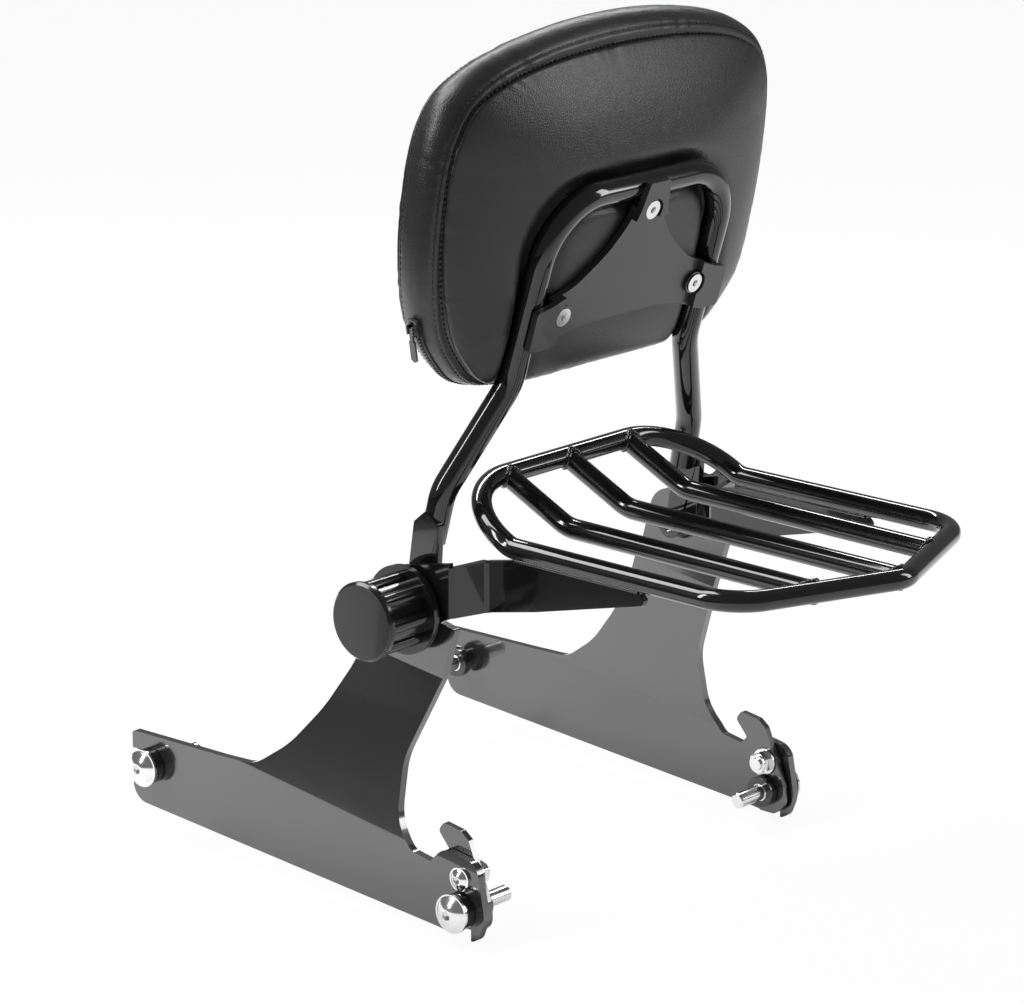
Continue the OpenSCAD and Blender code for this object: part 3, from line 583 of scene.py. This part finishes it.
# %% Puckers, seams and dimples
STITCH = 3.6 * MM
TOPSTITCH = 3.7 * MM
stitches = round(seam_length / STITCH)


def dip(distance, depth, width):
    return depth * math.exp(-((distance / width) ** 2))


def tucks(i, strength):
    angle = 2 * math.pi * i / AROUND
    wave = noise.noise(Vector((math.cos(angle) * 26, math.sin(angle) * 26, 1.5)))
    swell = noise.noise(Vector((math.cos(angle) * 5, math.sin(angle) * 5, 7.5)))
    return strength * wave * max(0.0, 0.35 + swell)


def moved_rings():
    if shifts is None:
        return [[p.copy() for p in loop] for loop in rings]
    tree = kdtree.KDTree(len(start))
    for index, p in enumerate(start):
        tree.insert(p, index)
    tree.balance()
    result = []
    for loop in rings:
        out = []
        for p in loop:
            total, weight = Vector(), 0.0
            for _, index, distance in tree.find_n(p, 8):
                w = 1 / (distance + 1 * MM) ** 2
                total += shifts[index] * w
                weight += w
            out.append(p + total / weight)
        result.append(out)
    return result


soft = moved_rings()
print("rings carry the simulated shape")

# %% [markdown]
# The dips go along the surface's own normal, found from the neighbouring rings and points. The normals
# are turned to point outward before they are used.

# %% Sewing marks on the rings
def normals_of(loops):
    result = []
    for r, loop in enumerate(loops):
        low, high = loops[max(r - 1, 0)], loops[min(r + 1, len(loops) - 1)]
        result.append([
            (high[i] - low[i]).cross(loop[(i + 1) % AROUND] - loop[i - 1]).normalized()
            for i in range(AROUND)
        ])
    return result


def seam_distance(kind, how, value):
    if kind == "band":
        return min(value, BAND - value), True
    return (value if how == "near" else 14 * MM), False


normals = normals_of(soft)
outer = normals[len(rows) // 2]
if sum(n.x * p.x + n.z * (p.z - MID) for n, p in zip(outer, soft[len(rows) // 2])) < 0:
    normals = [[-n for n in loop] for loop in normals]
for r, row in enumerate(rows):
    distance, on_band = seam_distance(*row)
    for i in range(AROUND):
        phase = 2 * math.pi * i * stitches / AROUND
        sink = dip(distance, 2.0 * MM, 1.1 * MM)
        sink += dip(distance, 0.5 * MM, 0.9 * MM) * (0.5 + 0.5 * math.cos(phase))
        if on_band:
            line = distance - TOPSTITCH
            sink += dip(line, 0.45 * MM, 0.7 * MM) * (1 + 0.5 * math.cos(phase))
            sink += tucks(i, 1.1 * MM) * math.exp(-distance / (9 * MM))
        else:
            sink += tucks(i + 40, 0.9 * MM) * math.exp(-distance / (5 * MM)) * (distance < 13 * MM)
        soft[r][i] -= normals[r][i] * sink
placed = [[on_pad(*p) for p in loop] for loop in soft]
cover = skin("pad_cover", placed, on_pad(*middle("back")), on_pad(*middle("front")))
cover.data.materials.append(vinyl)
print("cover has", len(cover.data.polygons), "faces")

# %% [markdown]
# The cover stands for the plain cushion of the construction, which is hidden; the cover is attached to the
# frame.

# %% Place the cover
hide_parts("pad")
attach(cover, "frame")
print("cover placed")

# %% [markdown]
# A stitch is a short bead of thread that dives into the cover at both ends. One small mesh is copied
# along the two lines beside the seams, and set in rows that follow the band.

# %% Stitches
def round_section(centre, first, second, radius, sides):
    turns = [math.tau * m / sides for m in range(sides)]
    return [centre + (first * math.cos(turn) + second * math.sin(turn)) * radius for turn in turns]


def wall_faces(count, sides, closed=False):
    faces = []
    for k in range(count if closed else count - 1):
        j = (k + 1) % count
        for m in range(sides):
            n = (m + 1) % sides
            faces.append((k * sides + m, k * sides + n, j * sides + n, j * sides + m))
    return faces


def end_faces(count, sides):
    return [tuple(reversed(range(sides))), tuple(range((count - 1) * sides, count * sides))]


def small_tube(points, radii, sides):
    """Points and faces of a closed tube through the points, with its own radius at each."""
    verts, count = [], len(points)
    for k, p in enumerate(points):
        along = (points[min(k + 1, count - 1)] - points[max(k - 1, 0)]).normalized()
        first = along.orthogonal().normalized()
        verts += round_section(p, first, along.cross(first), radii[k], sides)
    return verts, wall_faces(count, sides) + end_faces(count, sides)


def gather(name, parts, material, body="frame"):
    verts, faces = [], []
    for part_verts, part_faces in parts:
        base = len(verts)
        verts += part_verts
        faces += [tuple(base + v for v in face) for face in part_faces]
    mesh = bpy.data.meshes.new(name)
    mesh.from_pydata([tuple(v) for v in verts], [], faces)
    for face in mesh.polygons:
        face.use_smooth = True
    mesh.materials.append(material)
    piece = bpy.data.objects.new(name, mesh)
    bpy.context.scene.collection.objects.link(piece)
    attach(piece, body)
    return piece


def row_at(depth):
    on_the_band = [r for r, row in enumerate(rows) if row[0] == "band"]
    return min(on_the_band, key=lambda r: abs(rows[r][2] - depth))


def point_on(loop, place):
    i = int(math.floor(place)) % AROUND
    return loop[i].lerp(loop[(i + 1) % AROUND], place - math.floor(place))


BEAD_PATH = ((-1, -0.35), (-0.6, 0.22), (0, 0.36), (0.6, 0.22), (1, -0.35))  # along, and lift in mm
BEAD_SHARE = (0.5, 0.87, 1, 0.87, 0.5)


def stitch(r, k, thick, raised):
    centre, half = (k + 0.5) * AROUND / stitches, 0.36 * AROUND / stitches
    out = point_on(normals[r], centre)
    spine = []
    for t, lift in BEAD_PATH:
        base = point_on(soft[r], centre + t * half)
        spine.append(on_pad(*(base + out * (lift + raised) * MM)))
    return small_tube(spine, [thick * MM * share for share in BEAD_SHARE], 6)


seam_rows = [r for r, row in enumerate(rows) if row[1] == "near" and row[2] == 0]
line_rows = [row_at(TOPSTITCH), row_at(BAND - TOPSTITCH)]
parts = [stitch(r, k, 0.3, 0) for r in line_rows for k in range(stitches)]
parts += [stitch(r, k, 0.5, 0.35) for r in seam_rows for k in range(stitches)]
gather("pad_stitches", parts, thread)
print(len(parts), "stitches")

# %% [markdown]
# The zip runs along the lower half of the band. Two narrow tapes carry a coil of teeth between them:
# the teeth are short bars that reach over the middle from either side in turn.

# %% Zip tapes and teeth
ZIP_END = -1 * MM
middle_row = row_at(BAND / 2)
zip_points = [i for i in range(AROUND) if outline[i].y < ZIP_END]
start_at = next(i for i in zip_points if (i - 1) % AROUND not in zip_points)
zip_points = sorted(zip_points, key=lambda i: (i - start_at) % AROUND)


def on_band(place, depth, lift):
    base, normal = point_on(soft[middle_row], place), point_on(normals[middle_row], place)
    flat = Vector((normal.x, 0, normal.z)).normalized()
    return on_pad(*(Vector((base.x, BAND / 2 + depth, base.z)) + flat * lift))


def strip_part(profile):
    verts, faces = [], []
    for i in zip_points:
        verts += [on_band(i, depth * MM, lift * MM) for depth, lift in profile]
    width = len(profile)
    for k in range(len(zip_points) - 1):
        for m in range(width):
            n = (m + 1) % width
            faces.append((k * width + m, (k + 1) * width + m, (k + 1) * width + n, k * width + n))
    start, end = end_faces(len(zip_points), width)
    return verts, faces + [start[::-1], end[::-1]]


left_tape = [(-3.5, 0.1), (-3.3, 0.55), (-1.9, 0.7), (-0.9, 0.45), (-0.9, 0.0), (-3.4, -0.2)]
right_tape = [(-d, h) for d, h in reversed(left_tape)]
tapes = gather("zip_tapes", [strip_part(left_tape), strip_part(right_tape)], tape)
zip_length = sum((outline[b] - outline[a]).length for a, b in zip(zip_points, zip_points[1:]))
TOOTH_PITCH = 1.3 * MM
TOOTH_PATH = ((1.5, 0.35), (0.6, 0.75), (-0.5, 0.6))  # across the zip, and lift in mm
teeth, count = [], round(zip_length / TOOTH_PITCH)
for k in range(count):
    place = zip_points[0] + (len(zip_points) - 1) * k / count
    reach = 1 if k % 2 else -1
    spine = [on_band(place, reach * d * MM, h * MM) for d, h in TOOTH_PATH]
    teeth.append(small_tube(spine, [0.42 * MM, 0.5 * MM, 0.42 * MM], 5))
gather("zip_teeth", teeth, fitting)
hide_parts("zip_chain")
print(count, "teeth on", round(zip_length / MM), "mm of zip")

# %% [markdown]
# Glossy tubes show every flaw in a surface, so the bent tubes are swept again here along the same
# lines, with the same bend radii and diameters, as one smooth skin from end to end. Every corner of
# the line becomes a true arc.

# %% Line of a bent tube
def rounded(path, bends, closed=False):
    points, count = [], len(path)
    for k, corner in enumerate(path):
        if not bends[k]:
            points.append(corner)
            continue
        into = (corner - path[k - 1]).normalized()
        out = (path[(k + 1) % count] - corner).normalized()
        turn, bend = into.angle(out), bends[k] * MM
        centre = corner + (out - into).normalized() * bend / math.cos(turn / 2)
        start = corner - into * bend * math.tan(turn / 2) - centre
        axis = into.cross(out)
        steps = max(4, round(math.degrees(turn) / 2.5))
        points += [centre + Matrix.Rotation(turn * j / steps, 3, axis) @ start for j in range(steps + 1)]
    return points


def near_clamp(*place):
    return CLAMP + Vector(place) * MM


LEG = [(114, -3, 38), (112, -9.9, 68.9), (79, -32.9, 131.9)]  # foot, lower bend and upper bend, in mm
LEG_BEND, TOP_BEND = 34, HOOP_BEND / MM


def leg_line(side):
    points = [near_clamp(side * x, y, z) for x, y, z in LEG]
    return points + [on_back(side * HOOP_X, 0, HOOP_TOP)]


upright_bends = [0, LEG_BEND, LEG_BEND, TOP_BEND, TOP_BEND, LEG_BEND, LEG_BEND, 0]
upright_line = rounded(leg_line(-1) + leg_line(1)[::-1], upright_bends)
print(len(upright_line), "points along the upright")

# %% [markdown]
# A round section follows the line. The direction `across` is never parallel to the line, so each ring
# can be turned by it, and a closed tube ends exactly where it began.

# %% Sweep
BORE_SEEN = 12 * MM  # how far the open end of a tube is hollow


def swept(name, line, radius, across, material, stands_for, closed=False, wall=0, sides=48):
    rings_at = [(p, radius) for p in line]
    if wall:
        into_start, into_end = (line[1] - line[0]).normalized(), (line[-2] - line[-1]).normalized()
        bore = radius - wall
        rings_at = [(line[0] + into_start * BORE_SEEN, bore), (line[0], bore)] + rings_at
        rings_at += [(line[-1], bore), (line[-1] + into_end * BORE_SEEN, bore)]
    verts, count = [], len(rings_at)
    for k, (p, r) in enumerate(rings_at):
        at = line.index(p) if p in line else (0 if k < count / 2 else len(line) - 1)
        before = line[at - 1] if closed or at else line[at]
        after = line[(at + 1) % len(line)] if closed or at < len(line) - 1 else line[at]
        along = (after - before).normalized()
        first = (across - along * across.dot(along)).normalized()
        verts += round_section(p, first, along.cross(first), r, sides)
    faces = wall_faces(count, sides, closed) + ([] if closed else end_faces(count, sides))
    tube = gather(name, [(verts, faces)], material)
    tube.data.set_sharp_from_angle(angle=math.radians(40))
    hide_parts(stands_for)
    return tube


FORWARD, UP = Vector((0, 1, 0)), Vector((0, 0, 1))
upright = swept(
    "upright", upright_line, 8 * MM, FORWARD, steel_tube, "upright_tube", wall=2 * MM
)
blade_top, blade_face = CLAMP.z + 58 * MM, 121.8 * MM
for v in upright.data.vertices:
    if v.co.z < blade_top:
        v.co.x = max(-blade_face, min(blade_face, v.co.x))
print("upright swept,", len(upright.data.polygons), "faces")

# %% [markdown]
# The rack is one closed tube and three slats, swept the same way.

# %% Rack
RACK_UP, RISE, FRONT, REAR, RAIL_X = 41.9, 25, 7.2, 263.8, 104.7
SWEEP, INCLINE = math.radians(20.9), math.radians(26.8)
RAIL_R, SLAT_R, SLAT_LIFT, SLAT_PITCH = 6.35, 6.25, 1.6, 54.6
FRONT_BEND, KNEE_BEND, REAR_BEND, POINT_BEND, SLAT_BEND = 50, 19, 32, 20, 28
knee = FRONT + RISE / math.tan(INCLINE)
corner = REAR - RAIL_X * math.tan(SWEEP)
loop_path = [
    near_clamp(-RAIL_X, -FRONT, RACK_UP + RISE), near_clamp(RAIL_X, -FRONT, RACK_UP + RISE),
    near_clamp(RAIL_X, -knee, RACK_UP), near_clamp(RAIL_X, -corner, RACK_UP),
    near_clamp(0, -REAR, RACK_UP),
    near_clamp(-RAIL_X, -corner, RACK_UP), near_clamp(-RAIL_X, -knee, RACK_UP),
]
loop_bends = [FRONT_BEND, FRONT_BEND, KNEE_BEND, REAR_BEND, POINT_BEND, REAR_BEND, KNEE_BEND]
loop_line = rounded(loop_path, loop_bends, closed=True)
rack_frame = swept(
    "rack_frame", loop_line, RAIL_R * MM, UP, steel_tube, "rack_loop", closed=True
)


def slat_tail(x):
    inset = POINT_BEND * (1 / math.cos(SWEEP) - 1) if x == 0 else 0
    return REAR - abs(x) * math.tan(SWEEP) - inset


slats = {"left": -SLAT_PITCH, "centre": 0, "right": SLAT_PITCH}
for where, x in slats.items():
    path = [
        near_clamp(x, -FRONT, RACK_UP + RISE), near_clamp(x, -knee, RACK_UP + SLAT_LIFT),
        near_clamp(x, -slat_tail(x), RACK_UP),
    ]
    line = rounded(path, [0, SLAT_BEND, 0])
    swept(f"slat_{where}", line, SLAT_R * MM, UP, steel_tube, f"rack_slat_{where}")
print("rack swept")

# %% [markdown]
# Gas has to leave a closed tube while it is welded, so each side rail has a small hole underneath.

# %% Vent holes
VENT_R, VENT_PLACE = 2.5 * MM, 60  # radius, and how far it lies before the rail's rear corner


def drill(piece, centre, radius, depth, sides=24):
    foot = round_section(centre, Vector((1, 0, 0)), Vector((0, 1, 0)), radius, sides)
    head = [p + UP * depth for p in foot]
    mesh = bpy.data.meshes.new("drill")
    mesh.from_pydata(foot + head, [], wall_faces(2, sides) + end_faces(2, sides))
    tool = bpy.data.objects.new("drill", mesh)
    bpy.context.collection.objects.link(tool)
    cut = piece.modifiers.new("drilled", "BOOLEAN")
    cut.operation, cut.object, cut.solver = "DIFFERENCE", tool, "EXACT"
    graph = bpy.context.evaluated_depsgraph_get()
    shape = bpy.data.meshes.new_from_object(piece.evaluated_get(graph))
    piece.modifiers.remove(cut)
    piece.data = shape
    bpy.data.objects.remove(tool)
    return len(shape.polygons)


for side in (-1, 1):
    under = near_clamp(side * RAIL_X, -corner + VENT_PLACE, RACK_UP - 2 * RAIL_R)
    print("rack frame has", drill(rack_frame, under, VENT_R, 2 * RAIL_R * MM), "faces after the hole")

# %% [markdown]
# Welds join the tubes. A bead is a ring of small overlapping puddles that follows the line where one
# tube meets another, so its radius ripples along the way.

# %% Weld beads
BEAD_STEP = 0.45 * MM


def bead(points, radius, closed=True, pitch=2.2 * MM):
    dense, sides, travelled = [], 8, 0.0
    chained = points + points[:1] if closed else points
    for a, b in zip(chained, chained[1:]):
        steps = max(1, round((b - a).length / BEAD_STEP))
        dense += [a.lerp(b, k / steps) for k in range(steps)]
    if not closed:
        dense.append(points[-1])
    verts, last = [], len(dense) - 1
    for k, p in enumerate(dense):
        before = dense[k - 1] if closed or k else p
        after = dense[(k + 1) % len(dense)] if closed or k < last else p
        along = (after - before).normalized()
        travelled += (p - dense[k - 1]).length if k else 0
        saw = (travelled / pitch) % 1
        size = radius * (0.88 + 0.2 * math.sqrt(max(0.0, 1 - saw)))
        first = along.orthogonal().normalized()
        verts += round_section(p, first, along.cross(first), size, sides)
    return verts, wall_faces(len(dense), sides, closed)


def saddle(centre, tube_axis, branch, tube_r, branch_r, count=40):
    """Points where a branch of radius branch_r meets a tube of radius tube_r, at centre on its axis."""
    tube_axis, branch = tube_axis.normalized(), branch.normalized()
    u = (tube_axis - branch * tube_axis.dot(branch)).normalized()
    v = branch.cross(u)
    points = []
    for k in range(count):
        turn = 2 * math.pi * k / count
        offset = (u * math.cos(turn) + v * math.sin(turn)) * branch_r
        flat = offset - tube_axis * offset.dot(tube_axis)
        along = branch - tube_axis * branch.dot(tube_axis)
        a, b = along.length_squared, 2 * flat.dot(along)
        c = flat.length_squared - tube_r * tube_r
        root = max(0.0, b * b - 4 * a * c)
        points.append(centre + offset + branch * ((-b + math.sqrt(root)) / (2 * a)))
    return points


SLAT_BEAD = 1.7 * MM
SIDEWAYS = Vector((1, 0, 0))
welds = []
for x in slats.values():
    slope = Vector((0, FRONT - knee, SLAT_LIFT - RISE))
    start = near_clamp(x, -FRONT, RACK_UP + RISE)
    welds.append(bead(saddle(start, SIDEWAYS, slope, RAIL_R * MM, SLAT_R * MM), SLAT_BEAD))
    rail = Vector((1, (x > 0) * math.tan(SWEEP) - (x < 0) * math.tan(SWEEP), 0))
    end = near_clamp(x, -slat_tail(x), RACK_UP)
    welds.append(bead(saddle(end, rail, FORWARD, RAIL_R * MM, SLAT_R * MM), SLAT_BEAD))
gather("rack_welds", welds, steel_tube)
print(len(welds), "weld beads on the rack")

# %% [markdown]
# The brackets are welded to the rails from below, with one run along each side of the sheet. Each blade
# has a run on both of its edges, where it enters the tube.

# %% Welds of the brackets and blades
SHEET_FACES, BRACKET_RUN, BRACKET_BEAD = (102.7, 106.7), (-62, -156), 1.4 * MM
BLADE_X, BLADE_HALF, BLADE_BEAD = 117, 7.4, 1.1 * MM
BLADE_RUN = ((-3, 38.5), (-5.7, 50))  # forward and up, at the foot and at the head


def bracket_runs(side):
    made = []
    for face in SHEET_FACES:
        drop = math.sqrt(RAIL_R**2 - (face - RAIL_X) ** 2)
        ends = [near_clamp(side * face, y, RACK_UP - drop) for y in BRACKET_RUN]
        made.append(bead(ends, BRACKET_BEAD, closed=False))
    return made


def blade_runs(side):
    made = []
    for edge in (-BLADE_HALF, BLADE_HALF):
        ends = [near_clamp(side * BLADE_X, y + edge, z) for y, z in BLADE_RUN]
        made.append(bead(ends, BLADE_BEAD, closed=False))
    return made


gather("bracket_welds", bracket_runs(-1) + bracket_runs(1), steel_tube)
gather("blade_welds", blade_runs(-1) + blade_runs(1), steel_tube)
print("bracket and blade welds")

# %% [markdown]
# The studio is plain: a pale floor, a soft sky, and long soft boxes whose reflections draw the white
# lines along the tubes. A white background comes from what the camera sees of the floor, and never
# from more light on the object.

# %% Floor
def pale_floor():
    mesh = bpy.data.meshes.new("floor")
    z = cad_box[0][2] - 0.001
    mesh.from_pydata([(-14, -14, z), (14, -14, z), (14, 14, z), (-14, 14, z)], [], [(0, 1, 2, 3)])
    floor = bpy.data.objects.new("floor", mesh)
    bpy.context.scene.collection.objects.link(floor)
    material, shader, _ = finish("pale_floor", Base_Color=grey(0.92), Roughness=0.9)
    wire = Wire(material.node_tree)
    seen = wire.node("LightPath", output=0)
    white = wire.node("Emission", None, {"Color": (1, 1, 1, 1), "Strength": 1.0})
    base = Wire(material.node_tree, shader.outputs[0])
    mixed = wire.node("MixShader", None, {0: seen * 0.94, 1: base, 2: white})
    out = material.node_tree.nodes["Material Output"]
    material.node_tree.links.new(mixed.socket, out.inputs[0])
    mesh.materials.append(material)
    return floor


floor = pale_floor()
print("floor at", round(cad_box[0][2], 3))

# %% [markdown]
# Glossy steel shows what stands around it. A dark card lies on the floor to the left, outside the
# picture: upright plates mirror the pale floor in front of it, and plates that lean mirror the card.

# %% Dark card
def dark_card():
    away = Vector((-0.742, 0.671, 0))
    along = Vector((0.671, 0.742, 0))
    low = Vector((0, 0, cad_box[0][2] + 0.002))
    near, step, notch, far, half = 0.76, 0.5, -0.26, 5.0, 3.0
    corners = ((step, -half), (step, notch), (near, notch), (near, half), (far, half), (far, -half))
    mesh = bpy.data.meshes.new("dark_card")
    mesh.from_pydata([tuple(low + away * d + along * w) for d, w in corners], [], [(0, 1, 2, 3, 4, 5)])
    card = bpy.data.objects.new("dark_card", mesh)
    bpy.context.scene.collection.objects.link(card)
    mesh.materials.append(finish("card_black", Base_Color=grey(0.02), Roughness=0.9)[0])
    card.visible_camera = False
    return card


card = dark_card()
print("card of", len(card.data.vertices), "corners")

# %% [markdown]
# The sky is dark grey for the object and white for the camera. The soft boxes are area lamps. A broad
# one overhead shapes the soft pad, and three narrow ones draw thin lines on the glossy tubes.

# %% Sky and soft boxes
def sky(level):
    world = bpy.data.worlds.new("studio")
    bpy.context.scene.world = world
    world.use_nodes = True
    wire = Wire(world.node_tree)
    seen = wire.node("LightPath", output=0)
    background = world.node_tree.nodes["Background"]
    background.inputs[0].default_value = (1, 1, 1, 1)
    strength = seen * (1 - level) + level
    world.node_tree.links.new(strength.socket, background.inputs[1])


def softbox(name, place, target, width, height, power):
    data = bpy.data.lights.new(name, "AREA")
    data.shape, data.size, data.size_y, data.energy = "RECTANGLE", width, height, power
    lamp = bpy.data.objects.new(name, data)
    lamp.location = place
    lamp.rotation_euler = (Vector(place) - Vector(target)).to_track_quat("Z", "Y").to_euler()
    bpy.context.scene.collection.objects.link(lamp)
    return lamp


HEART = (0, -0.2, 0.2)
sky(0.16)
softbox("overhead", (-0.7, 0.9, 2.0), HEART, 1.1, 1.6, 40)
softbox("forward_strip", (0.85, 0.95, 1.6), HEART, 2.2, 0.16, 24)
softbox("left_strip", (-2.2, 0.9, 1.4), HEART, 0.3, 1.8, 26)
softbox("right_rear", (1.6, -2.0, 1.3), HEART, 0.5, 1.8, 20)
print(len(bpy.data.lights), "soft boxes")
